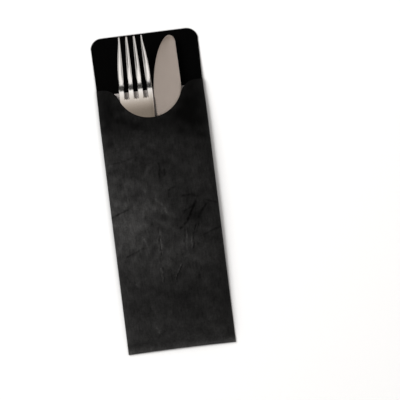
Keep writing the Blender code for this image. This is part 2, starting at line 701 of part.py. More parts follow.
# The knife as a solid of two faces. The handle's section is a flat oval and the blade's is
# a wedge, and the two run into each other at the heel.
def make_knife(finish):
    turn = np.linspace(0.0, math.pi / 2, BELLY_ROWS + 1)
    heel_end = KNIFE_HEEL + KNIFE_HEEL_LENGTH
    rows = np.concatenate(
        [
            round_end_rows(KNIFE_HANDLE_END_RADIUS, ROUND_END_ROWS),
            np.linspace(KNIFE_HANDLE_END_RADIUS, KNIFE_HEEL, KNIFE_HANDLE_ROWS + 1)[:-1],
            np.linspace(KNIFE_HEEL, heel_end, HEEL_ROWS + 1)[:-1],
            np.linspace(heel_end, KNIFE_BELLY, BLADE_ROWS + 1)[:-1],
            KNIFE_BELLY + KNIFE_BELLY_LENGTH * np.sin(turn),
        ]
    )
    rows[0] = KNIFE_HANDLE_END_RADIUS * END_ROW_SHARE
    rows[-1] = KNIFE_LENGTH - KNIFE_CORNER_LENGTH * END_ROW_SHARE / 2
    rows = rows[:, None]
    share = (1.0 - np.cos(np.linspace(0.0, math.pi, KNIFE_CELLS + 1)))[None, :] / 2
    blade = smooth_step(KNIFE_HEEL, heel_end, rows)
    handle = 1.0 - blade
    half = knife_handle_half(rows)
    left = (-KNIFE_AXIS_FROM_SPINE - half) * handle - knife_edge_reach(rows) * blade
    right = (-KNIFE_AXIS_FROM_SPINE + half) * handle - knife_spine_inset(rows) * blade
    across = left + (right - left) * share
    handle_thickness = curve_through(
        [
            (0.0, KNIFE_HANDLE_END_THICKNESS),
            (KNIFE_WAIST_V, KNIFE_HANDLE_THICKNESS),
            (KNIFE_HEEL, KNIFE_NECK_THICKNESS),
            (KNIFE_LENGTH, KNIFE_NECK_THICKNESS),
        ],
        rows,
    )
    oval = np.sqrt(np.clip(1.0 - (2.0 * share - 1.0) ** 2, 0.0, None))
    oval = np.maximum(oval, KNIFE_EDGE_THICKNESS / KNIFE_HANDLE_THICKNESS)
    wedge = KNIFE_EDGE_THICKNESS + (KNIFE_SPINE_THICKNESS - KNIFE_EDGE_THICKNESS) * share
    thickness = handle_thickness * oval * handle + wedge * blade
    v = np.repeat(rows, share.size, axis=1)
    top = (KNIFE_HANDLE_THICKNESS + thickness) / 2
    bottom = (KNIFE_HANDLE_THICKNESS - thickness) / 2
    present = np.ones((len(rows) - 1, share.size - 1), bool)
    knife = plate("knife", across, v, top, bottom, present, finish)
    knife.rotation_euler = (-KNIFE_TILT, 0.0, KNIFE_LEAN)
    end_x = KNIFE_SPINE_X + KNIFE_LENGTH * math.sin(KNIFE_LEAN)
    knife.location = (end_x, KNIFE_END_Y, CUTLERY_Z + KNIFE_END_LIFT)
    return knife


clear_scene()
paper = material("black paper", (0.010, 0.010, 0.010), 0.55)
tissue = material("white tissue", (0.75, 0.74, 0.72), 0.9)
steel = material("polished steel", (0.62, 0.58, 0.54), 0.22, metallic=1.0)
make_pouch(paper)
make_napkin(tissue)
make_fork(steel)
make_knife(steel)
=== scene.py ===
import math

import bpy
import numpy as np
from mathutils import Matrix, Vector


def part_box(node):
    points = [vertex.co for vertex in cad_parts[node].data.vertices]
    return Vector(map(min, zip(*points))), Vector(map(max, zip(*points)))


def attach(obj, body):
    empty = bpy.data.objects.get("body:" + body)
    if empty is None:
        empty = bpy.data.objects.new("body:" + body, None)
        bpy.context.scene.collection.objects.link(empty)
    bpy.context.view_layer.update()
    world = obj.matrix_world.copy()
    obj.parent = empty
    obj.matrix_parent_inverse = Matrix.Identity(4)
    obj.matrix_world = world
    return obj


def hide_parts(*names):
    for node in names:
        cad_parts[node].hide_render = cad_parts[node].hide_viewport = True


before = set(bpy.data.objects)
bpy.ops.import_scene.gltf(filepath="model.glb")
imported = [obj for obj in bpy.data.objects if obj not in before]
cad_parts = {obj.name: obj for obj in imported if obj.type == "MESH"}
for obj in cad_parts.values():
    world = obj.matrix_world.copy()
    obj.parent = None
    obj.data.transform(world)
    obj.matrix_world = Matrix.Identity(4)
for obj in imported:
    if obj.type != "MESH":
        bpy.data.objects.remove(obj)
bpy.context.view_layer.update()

mm = 0.001
pouchLow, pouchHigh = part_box("pouch")
halfWidth = (pouchHigh[0] - pouchLow[0]) / 2
bottomY = pouchLow[1]
lipY = pouchHigh[1]


# Small helpers for shapes

# 0 below low, 1 above high, an S curve between them
def smoothStep(low, high, at):
    share = np.clip((np.asarray(at, float) - low) / (high - low), 0.0, 1.0)
    return share * share * (3.0 - 2.0 * share)


# A curve through (place, value) stations that never overshoots: cubic pieces, with the
# harmonic mean of the neighbouring slopes at a station and no slope at a peak
def curveThrough(stations, at):
    place, value = np.array(stations, float).T
    step = np.diff(place)
    rise = np.diff(value) / step
    slope = np.zeros(len(place))
    sameWay = rise[:-1] * rise[1:] > 0.0
    pair = np.where(sameWay, rise[:-1] + rise[1:], 1.0)
    slope[1:-1] = np.where(sameWay, 2.0 * rise[:-1] * rise[1:] / pair, 0.0)
    at = np.clip(np.asarray(at, float), place[0], place[-1])
    piece = np.clip(np.searchsorted(place, at, side="right") - 1, 0, len(step) - 1)
    share = (at - place[piece]) / step[piece]
    start = step[piece] * slope[piece] * share * (1.0 - share) ** 2
    end = step[piece] * slope[piece + 1] * share**2 * (share - 1.0)
    blend = share * share * (3.0 - 2.0 * share)
    return value[piece] + (value[piece + 1] - value[piece]) * blend + start + end


# Quarter circle from 0 at the end to 1 at the radius
def roundEnd(at, radius):
    left = np.clip(1.0 - np.asarray(at) / radius, 0.0, 1.0)
    return np.sqrt(1.0 - left * left)


# A mesh from places and lists of faces, smooth but for edges sharper than an angle
def meshObject(name, points, faceLists, materials, kinds=None, sharp=35.0):
    faces = []
    for faceList in faceLists:
        faces += np.asarray(faceList).tolist()
    mesh = bpy.data.meshes.new(name)
    mesh.from_pydata(np.asarray(points).tolist(), [], faces)
    for material in materials:
        mesh.materials.append(material)
    if kinds is not None:
        mesh.polygons.foreach_set("material_index", np.asarray(kinds, np.int32))
    mesh.shade_smooth()
    mesh.set_sharp_from_angle(angle=math.radians(sharp))
    mesh.update()
    made = bpy.data.objects.new(name, mesh)
    bpy.context.scene.collection.objects.link(made)
    return made


# Quads between neighbouring rows of an index grid; closed joins the last column to the first
def gridQuads(grid, closed=False, flip=False):
    near = grid if closed else grid[:, :-1]
    far = np.roll(grid, -1, axis=1) if closed else grid[:, 1:]
    quads = np.stack([near[:-1], far[:-1], far[1:], near[1:]], axis=-1).reshape(-1, 4)
    return quads[:, ::-1] if flip else quads


# A closed plate: a top and a bottom height over one grid of places, open where a cell is
# not present, with a wall along every edge that lies free
def plateObject(name, x, y, top, bottom, present, material):
    rows, columns = x.shape
    upper = np.arange(rows * columns).reshape(rows, columns)
    lower = upper + rows * columns
    corners = [(slice(None, -1), slice(None, -1)), (slice(None, -1), slice(1, None)),
               (slice(1, None), slice(1, None)), (slice(1, None), slice(None, -1))]
    ring = np.pad(present, 1)
    beside = [ring[:-2, 1:-1], ring[1:-1, 2:], ring[2:, 1:-1], ring[1:-1, :-2]]
    faces = [np.stack([upper[c][present] for c in corners], axis=-1),
             np.stack([lower[c][present] for c in reversed(corners)], axis=-1)]
    for side, neighbour in enumerate(beside):
        free = present & ~neighbour
        start = corners[side]
        end = corners[(side + 1) % 4]
        faces.append(np.stack([upper[end][free], upper[start][free],
                               lower[start][free], lower[end][free]], axis=-1))
    faces = np.concatenate(faces)
    used, packed = np.unique(faces, return_inverse=True)
    points = np.concatenate([np.stack([x, y, top], axis=-1).reshape(-1, 3),
                             np.stack([x, y, bottom], axis=-1).reshape(-1, 3)])
    return meshObject(name, points[used], [packed.reshape(-1, 4)], [material])


# Turns a piece's own places by lean about Z and by tilt about X, then moves them
def placed(x, y, z, lean, tilt, move):
    tiltedY = y * math.cos(tilt) - z * math.sin(tilt)
    tiltedZ = y * math.sin(tilt) + z * math.cos(tilt)
    turnedX = x * math.cos(lean) - tiltedY * math.sin(lean)
    turnedY = x * math.sin(lean) + tiltedY * math.cos(lean)
    return turnedX + move[0], turnedY + move[1], tiltedZ + move[2]


# Shader maths as Python expressions

class Signal:
    def __init__(self, board, socket):
        self.board = board
        self.socket = socket

    def maths(self, kind, first, second):
        return self.board.node("ShaderNodeMath", {"operation": kind}, {0: first, 1: second})

    def __add__(self, other):
        return self.maths("ADD", self, other)

    def __radd__(self, other):
        return self.maths("ADD", other, self)

    def __sub__(self, other):
        return self.maths("SUBTRACT", self, other)

    def __rsub__(self, other):
        return self.maths("SUBTRACT", other, self)

    def __mul__(self, other):
        return self.maths("MULTIPLY", self, other)

    def __rmul__(self, other):
        return self.maths("MULTIPLY", other, self)


class Board:
    def __init__(self, owner):
        owner.use_nodes = True
        self.tree = owner.node_tree
        self.tree.nodes.clear()

    # One node of a kind: its settings first, then values or links for its sockets
    def node(self, kind, settings=None, sockets=None, out=0):
        made = self.tree.nodes.new(kind)
        for name, value in (settings or {}).items():
            setattr(made, name, value)
        for name, value in (sockets or {}).items():
            if isinstance(value, Signal):
                self.tree.links.new(value.socket, made.inputs[name])
            else:
                made.inputs[name].default_value = value
        return Signal(self, made.outputs[out]) if len(made.outputs) else None

    def rampUp(self, value, low, high):
        return self.node("ShaderNodeMapRange", {"interpolation_type": "SMOOTHSTEP"},
                         {"Value": value, "From Min": low, "From Max": high})

    def mixColour(self, share, first, second):
        return self.node("ShaderNodeMix", {"data_type": "RGBA"}, {0: share, 6: first, 7: second}, out=2)

    def noise(self, place, scale, detail=3.0, roughness=0.5):
        return self.node("ShaderNodeTexNoise", None,
                         {"Vector": place, "Scale": scale, "Detail": detail, "Roughness": roughness})

    def stretched(self, place, factors):
        return self.node("ShaderNodeMapping", None, {"Vector": place, "Scale": factors})

    def finishWith(self, shader, kind="ShaderNodeOutputMaterial"):
        self.node(kind, None, {"Surface": shader})


# A material, its board and the piece's own places
def newMaterial(name):
    material = bpy.data.materials.new(name)
    board = Board(material)
    place = board.node("ShaderNodeTexCoord", out=3)
    return material, board, place


print("materials")

# Black print on paper. The point attribute holds the print's own grey, with painted highlights along the
# bottom crease and the side folds; fine fibres and a leather-like grain are added here
printLook = {"grainScale": 900.0, "fibreScale": 260.0, "grainDepth": 0.00003, "roughness": 0.55,
             "sheen": 0.05}


def makePrintMaterial(look):
    material, board, place = newMaterial("blackPrintedPaper")
    tone = board.node("ShaderNodeAttribute", {"attribute_name": "printAndHighlightGrey"}, out=2)
    grain = board.noise(place, look["grainScale"], 4.0, 0.6)
    fibres = board.noise(board.stretched(place, (1.0, 0.22, 1.0)), look["fibreScale"] * 3.0, 3.0, 0.6)
    patches = board.noise(place, look["fibreScale"] * 0.5, 3.0, 0.55)
    speckle = 1.0 + (grain - 0.5) * 1.2 + (fibres - 0.5) * 1.2 + (patches - 0.5) * 1.3
    shade = tone * speckle
    colour = board.node("ShaderNodeCombineColor", None, {0: shade * 1.02, 1: shade, 2: shade * 0.99})
    rough = look["roughness"] + (grain - 0.5) * 0.18 + (patches - 0.5) * 0.12
    height = grain * 0.6 + fibres * 0.5 + patches * 0.8
    bump = board.node("ShaderNodeBump", None, {"Strength": 0.55, "Distance": look["grainDepth"],
                                              "Height": height})
    board.finishWith(board.node("ShaderNodeBsdfPrincipled", None, {
        "Base Color": colour, "Roughness": rough, "Normal": bump,
        "Specular IOR Level": look["sheen"]}))
    return material


# The uncoated black inside of the sheet, which shows as the lip behind the cutlery
insideLook = {"colour": 0.0012, "roughness": 0.9, "sheen": 0.02}


def makeInsideMaterial(look):
    material, board, place = newMaterial("blackInnerPaper")
    fibres = board.noise(board.stretched(place, (1.0, 0.3, 1.0)), 700.0, 3.0)
    shade = look["colour"] * (0.6 + fibres * 0.8)
    colour = board.node("ShaderNodeCombineColor", None, {0: shade, 1: shade, 2: shade})
    bump = board.node("ShaderNodeBump", None, {"Strength": 0.3, "Distance": 0.00002, "Height": fibres})
    board.finishWith(board.node("ShaderNodeBsdfPrincipled", None, {
        "Base Color": colour, "Roughness": look["roughness"] + (fibres - 0.5) * 0.1,
        "Normal": bump, "Specular IOR Level": look["sheen"]}))
    return material


# Tissue with rows of small pressed dots and soft fibres
napkinLook = {"colour": (0.49, 0.455, 0.44, 1.0), "shade": (0.40, 0.37, 0.355, 1.0), "dotPitch": 1.6 * mm}


def makeNapkinMaterial(look):
    material, board, place = newMaterial("napkinTissue")
    across = board.node("ShaderNodeSeparateXYZ", None, {0: place}, out=0)
    along = board.node("ShaderNodeSeparateXYZ", None, {0: place}, out=1)
    turns = 2.0 * math.pi / look["dotPitch"]
    waveX = board.node("ShaderNodeMath", {"operation": "SINE"}, {0: across * turns})
    waveY = board.node("ShaderNodeMath", {"operation": "SINE"}, {0: along * turns})
    dots = board.rampUp(waveX * waveY, 0.25, 0.8)
    fibres = board.noise(place, 2600.0, 4.0, 0.65)
    cloud = board.noise(place, 120.0, 2.0)
    share = fibres * 0.5 + cloud * 0.5 + dots * 0.15
    colour = board.mixColour(share, look["shade"], look["colour"])
    bump = board.node("ShaderNodeBump", None, {"Strength": 0.6, "Distance": 0.00006,
                                              "Height": fibres * 0.5 - dots})
    board.finishWith(board.node("ShaderNodeBsdfPrincipled", None, {
        "Base Color": colour, "Roughness": 0.88 + (fibres - 0.5) * 0.1, "Normal": bump,
        "Specular IOR Level": 0.1}))
    return material


# Steel: metal with hairlines along the piece and a few cloudy rub marks
forkLook = {"name": "polishedForkSteel", "colour": (0.88, 0.85, 0.82), "roughness": 0.07,
            "hairlines": 0.04, "depth": 0.0000006}
knifeLook = {"name": "satinKnifeSteel", "colour": (0.74, 0.655, 0.60), "roughness": 0.34,
             "hairlines": 0.16, "depth": 0.000006}


def makeSteelMaterial(look):
    material, board, place = newMaterial(look["name"])
    hairlines = board.noise(board.stretched(place, (1.0, 0.02, 1.0)), 3500.0, 3.0, 0.6)
    clouds = board.noise(place, 160.0, 3.0)
    dim = 1.0 - (clouds - 0.5) * 0.05 - (hairlines - 0.5) * 0.05
    red, green, blue = look["colour"]
    colour = board.node("ShaderNodeCombineColor", None, {0: dim * red, 1: dim * green, 2: dim * blue})
    rough = look["roughness"] + (hairlines - 0.5) * look["hairlines"] + (clouds - 0.5) * 0.04
    bump = board.node("ShaderNodeBump", None, {"Strength": 0.3, "Distance": look["depth"],
                                              "Height": hairlines})
    board.finishWith(board.node("ShaderNodeBsdfPrincipled", None, {
        "Base Color": colour, "Metallic": 1.0, "Roughness": rough, "Normal": bump}))
    return material


printPaper = makePrintMaterial(printLook)
innerPaper = makeInsideMaterial(insideLook)
tissue = makeNapkinMaterial(napkinLook)
forkSteel = makeSteelMaterial(forkLook)
knifeSteel = makeSteelMaterial(knifeLook)


print("pouch")

pouch = {
    "sheet": 0.25 * mm,
    "lip": 41.0 * mm,
    "lipCorner": 9.0 * mm,
    "napkinBelowShoulder": 3.8 * mm,
    "napkinLength": 190.0 * mm,
    "scoopRadius": 26.3 * mm,
    "scoopDepth": 25.65 * mm,
    "flareRadius": 14.0 * mm,
    "scoopOffset": -0.65 * mm,
    "seam": 12.0 * mm,
    "flap": 18.0 * mm,
    "waist": 0.35 * mm,
    "waistReach": 30.0 * mm,
    "sideLift": 2.2 * mm,
    "foldGap": 0.06 * mm,
    "liftPower": 3.0,
    "packHeight": 3.2 * mm,
    "packPower": 10.0,
    "bulgePower": 2.4,
    "bottomHollow": 0.5 * mm,
    "columns": 110,
    "rows": 264,
    "innerRows": 66,
    "lipRows": 26,
    "cornerRows": 10,
}
shoulderY = lipY - pouch["lip"]
scoopCentreY = shoulderY - pouch["scoopDepth"] + pouch["scoopRadius"]
napkinTopY = shoulderY - pouch["napkinBelowShoulder"]
napkinLength = pouch["napkinLength"]
napkinEndY = napkinTopY - napkinLength


# Half the pouch's width: the full half, drawn in a little on both sides of the shoulder
def pouchHalf(y):
    draw = 1.0 - smoothStep(0.0, pouch["waistReach"], np.abs(y - shoulderY))
    return halfWidth - pouch["waist"] * draw


# How far the back panel is off the flat: most along the side folds, nothing at both ends
def backLift(x, y):
    share = np.abs(x) / halfWidth
    along = smoothStep(bottomY + pouch["flap"], napkinTopY - napkinLength / 2, y)
    fade = 1.0 - smoothStep(shoulderY - pouch["lip"], lipY - pouch["lipCorner"], y)
    return pouch["sideLift"] * along * fade * share ** pouch["liftPower"]


# The napkin's pack keeps the panels apart nearly out to the folds, and the cutlery on it
# lifts the front panel in a round bulge: stations of height along Y
bulgeStations = [(bottomY, 0.0), (-100.6 * mm, 7.70 * mm), (-50.3 * mm, 8.12 * mm),
                 (25.4 * mm, 9.70 * mm), (59.0 * mm, 8.27 * mm), (lipY, 5.5 * mm)]


def panelGap(x, y):
    share = np.clip(np.abs(x) / (halfWidth - pouch["sheet"]), 0.0, 1.0)
    before = np.clip((napkinEndY - y) / (napkinEndY - bottomY), 0.0, 1.0)
    pack = pouch["packHeight"] * (1.0 - before * before) * (1.0 - share ** pouch["packPower"])
    bulge = curveThrough(bulgeStations, y) * (1.0 - share ** pouch["bulgePower"])
    return pouch["foldGap"] + pack + bulge


# Slight waves of the paper, as crossing sines that die out at the folds and the crease
def paperWaves(x, y):
    inside = (1.0 - (np.abs(x) / halfWidth) ** 4) * smoothStep(bottomY, bottomY + 30 * mm, y)
    broad = np.sin(y * 52.0 + 1.3) * np.cos(x * 61.0 + 0.4) + 0.7 * np.sin(x * 97.0 - y * 41.0)
    small = np.sin(x * 190.0 + y * 160.0) * np.sin(y * 205.0 - x * 70.0 + 2.0)
    return inside * (0.07 * mm * broad + 0.025 * mm * small)


# The front panel's free edge: scoop arc, flare that bends the other way, straight shoulder
def scoopEdge(x):
    across = np.abs(x - pouch["scoopOffset"])
    drop = scoopCentreY - (shoulderY - pouch["flareRadius"])
    reach = pouch["scoopRadius"] + pouch["flareRadius"]
    flareX = math.sqrt(reach * reach - drop * drop)
    meetingX = flareX * pouch["scoopRadius"] / reach
    arc = scoopCentreY - np.sqrt(np.clip(pouch["scoopRadius"] ** 2 - across**2, 0.0, None))
    turned = np.sqrt(np.clip(pouch["flareRadius"] ** 2 - (flareX - across) ** 2, 0.0, None))
    flare = shoulderY - pouch["flareRadius"] + turned
    return np.where(across < meetingX, arc, np.where(across < flareX, flare, shoulderY))


# Heights of the four faces of the sheet, from the floor up: each panel is one sheet thick,
# and the gap and the waves lie between the panels
def backOutside(x, y):
    return pouch["sheet"] + backLift(x, y)


def backInside(x, y):
    return 2.0 * pouch["sheet"] + backLift(x, y)


def frontInside(x, y):
    return backInside(x, y) + panelGap(x, y) + paperWaves(x, y)


def frontOutside(x, y):
    return frontInside(x, y) + pouch["sheet"]


# The print: a dark ground with clouds, light and dark scratched strokes, and painted highlights along the
# bottom crease and the side folds. Each stroke is a line through a few points in millimetres, with its half
# width and how much it adds in steps of a 0 to 255 grey
printAndHighlightSteps = {
    "ground": 27.5,
    "strokeGain": 1.8,
    "clouds": [  # centre x, y, reach x, y, steps
        (-27.0, -26.0, 20.0, 22.0, 20.0),
        (-12.0, -14.0, 14.0, 12.0, 8.0),
        (-34.0, 10.0, 16.0, 22.0, 7.0),
        (-14.0, 6.0, 18.0, 10.0, 5.0),
        (20.0, -46.0, 18.0, 12.0, 5.0),
        (-6.0, -54.0, 9.0, 8.0, 7.0),
        (-28.0, -60.0, 14.0, 12.0, 5.0),
        (26.0, 10.0, 20.0, 24.0, 6.0),
        (0.0, 38.0, 40.0, 10.0, 2.0),
        (30.0, 66.0, 16.0, 26.0, -22.0),
        (-36.0, 72.0, 16.0, 22.0, -20.0),
        (0.0, 54.0, 46.0, 11.0, -10.0),
        (4.0, -50.0, 20.0, 16.0, 8.0),
        (36.0, -52.0, 14.0, 20.0, 6.0),
        (0.0, -116.0, 60.0, 17.0, 12.0),
        (2.0, 20.0, 6.0, 14.0, -5.0),
        (23.5, -20.0, 6.0, 5.5, -11.0),
        (-3.0, -22.0, 4.0, 3.0, -6.0),
        (0.0, -92.0, 30.0, 14.0, -3.0),
    ],
    "strokes": [
        ([(-42.0, -16.0), (-36.0, -14.0), (-29.0, -11.5)], 0.55, -15.0),
        ([(-34.0, -48.0), (-27.0, -45.5), (-20.0, -43.0)], 0.6, -11.0),
        ([(-40.0, 25.5), (-30.0, 26.0), (-20.0, 28.5)], 0.6, -7.0),
        ([(24.5, -11.0), (20.0, -20.0), (16.0, -26.0), (10.5, -31.0)], 0.9, -16.0),
        ([(32.5, -14.5), (30.5, -17.0)], 0.8, -13.0),
        ([(29.5, -18.0), (25.5, -23.5)], 1.0, -10.0),
        ([(24.8, -29.0), (22.6, -35.0)], 0.5, -14.0),
        ([(22.8, -29.0), (20.0, -36.0)], 0.5, -13.0),
        ([(15.0, -5.5), (22.0, -5.5), (26.5, -7.5)], 0.6, -15.0),
        ([(33.0, -11.0), (41.0, -14.0)], 0.5, -12.0),
        ([(28.0, -38.0), (34.0, -35.5), (42.0, -33.0)], 0.6, -11.0),
        ([(10.0, 2.0), (5.0, 0.0)], 0.6, -8.0),
        ([(5.0, 0.0), (4.8, -5.5)], 0.6, -15.0),
        ([(0.0, 22.0), (-0.5, 15.0), (-1.0, 8.0)], 0.65, -11.0),
        ([(3.5, 20.0), (3.0, 12.0)], 0.55, -8.0),
        ([(-38.0, -60.0), (-36.0, -64.0), (-34.0, -68.0)], 0.5, -8.0),
        ([(19.0, -61.0), (20.5, -66.0), (20.0, -72.0)], 0.6, -6.0),
        ([(-2.0, -51.0), (4.0, -57.5)], 0.5, -7.0),
        ([(8.6, -58.6), (5.0, -64.0), (2.6, -70.0)], 0.35, -15.0),
        ([(7.9, -58.6), (4.2, -64.0), (1.8, -69.6)], 0.35, 13.0),
        ([(-6.0, -6.0), (-1.0, -11.0), (2.0, -18.0)], 0.9, 10.0),
        ([(-19.5, -34.0), (-17.0, -42.0)], 0.5, 9.0),
        ([(-6.9, -28.0), (-6.9, -50.0)], 0.4, -14.0),
        ([(-5.8, -30.0), (-5.9, -49.0)], 0.4, 12.0),
        ([(-8.3, -36.0), (-8.3, -48.0)], 0.5, 8.0),
        ([(13.6, -30.0), (12.2, -50.0)], 0.4, -12.0),
        ([(14.7, -31.0), (13.5, -48.0)], 0.4, 10.0),
        ([(18.6, -36.0), (17.6, -47.0)], 0.5, 11.0),
        ([(19.9, -36.0), (18.9, -47.0)], 0.5, -10.0),
        ([(-8.3, -60.0), (-8.3, -70.0)], 0.5, 11.0),
        ([(-7.1, -60.0), (-7.1, -70.0)], 0.5, -10.0),
        ([(-29.0, -70.0), (-27.5, -73.0)], 0.5, 8.0),
        ([(-18.0, -106.0), (-15.5, -108.5)], 0.5, 11.0),
        ([(-17.5, -109.0), (-15.5, -110.5)], 0.45, 10.0),
        ([(18.0, -105.0), (20.0, -109.0)], 0.4, 6.0),
        ([(21.0, -15.0), (15.0, -17.5)], 0.5, -8.0),
        ([(16.5, -14.0), (15.0, -19.0)], 0.4, -7.0),
        ([(30.0, -88.0), (29.0, -93.0)], 0.5, -6.0),
    ],
    # Painted highlights, in steps of grey: a lighter band along the bottom crease and along the side folds
    "creasePaintedHighlight": 24.0,
    "foldPaintedHighlight": 9.0,
}


# Smooth random hills: a few crossing sines whose directions and phases come from one seed
def hills(x, y, scale, seed, count=7):
    draw = np.random.default_rng(seed)
    total = np.zeros_like(x)
    for angle, phase, pull in draw.uniform(0.0, 1.0, (count, 3)):
        turn = angle * math.pi
        length = scale * (0.6 + 0.9 * pull)
        total += np.sin((x * math.cos(turn) + y * math.sin(turn)) / length * 2 * math.pi + phase * 6.28)
    return total / math.sqrt(count)


# Nearness to a line of points: 1 on it, falling as a bell with the half width
def strokeShade(x, y, line, width):
    nearest = np.full_like(x, 1e9)
    for (x0, y0), (x1, y1) in zip(line, line[1:]):
        run = (x1 - x0) ** 2 + (y1 - y0) ** 2
        share = np.clip(((x - x0) * (x1 - x0) + (y - y0) * (y1 - y0)) / run, 0.0, 1.0)
        nearest = np.minimum(nearest, np.hypot(x - x0 - share * (x1 - x0), y - y0 - share * (y1 - y0)))
    return np.exp(-((nearest / width) ** 2))


# Grey of the print as a share of light, from the steps above, with a painted highlight along the bottom
# crease and along each side fold
def printAndHighlightGrey(x, y):
    across = x / mm
    along = y / mm
    grey = np.full_like(across, printAndHighlightSteps["ground"])
    wander = 2.2 * hills(across, along, 34.0, 3) + 1.6 * hills(across, along, 13.0, 5)
    for cx, cy, rx, ry, steps in printAndHighlightSteps["clouds"]:
        ragged = 1.0 + 0.28 * hills(across, along, 11.0, int(abs(cx) * 7 + abs(cy)))
        reach = np.hypot((across - cx) / rx, (along - cy) / ry) * ragged
        grey = grey + steps * np.exp(-(reach**2))
    fine = 0.9 * hills(across, along, 5.0, 11) + 0.8 * hills(across, along, 2.6, 17, 9)
    grey = grey + wander * 0.8 + fine
    for line, width, steps in printAndHighlightSteps["strokes"]:
        worn = 0.75 + 0.35 * hills(across, along, 4.0, int(abs(line[0][0] * 10)))
        bentX = across + 0.25 * hills(across, along, 6.0, 23)
        grey = grey + printAndHighlightSteps["strokeGain"] * steps * worn * strokeShade(bentX, along, line, width)
    # Painted highlights: a lighter band along the bottom crease and along each side fold, where the bent
    # paper would catch the light
    crease = np.exp(-(((along - bottomY / mm) / 4.0) ** 2))
    fold = np.exp(-(((halfWidth / mm - np.abs(across)) / 0.8) ** 2))
    grey = grey + printAndHighlightSteps["creasePaintedHighlight"] * crease + printAndHighlightSteps["foldPaintedHighlight"] * fold
    share = np.clip(grey, 3.0, 120.0) / 255.0
    return ((share + 0.055) / 1.055) ** 2.4


# Puts the print's grey, painted highlights included, on a piece, one value for each point
def paintTone(made, tone):
    layer = made.data.attributes.new("printAndHighlightGrey", "FLOAT", "POINT")
    layer.data.foreach_set("value", tone.astype(np.float32))


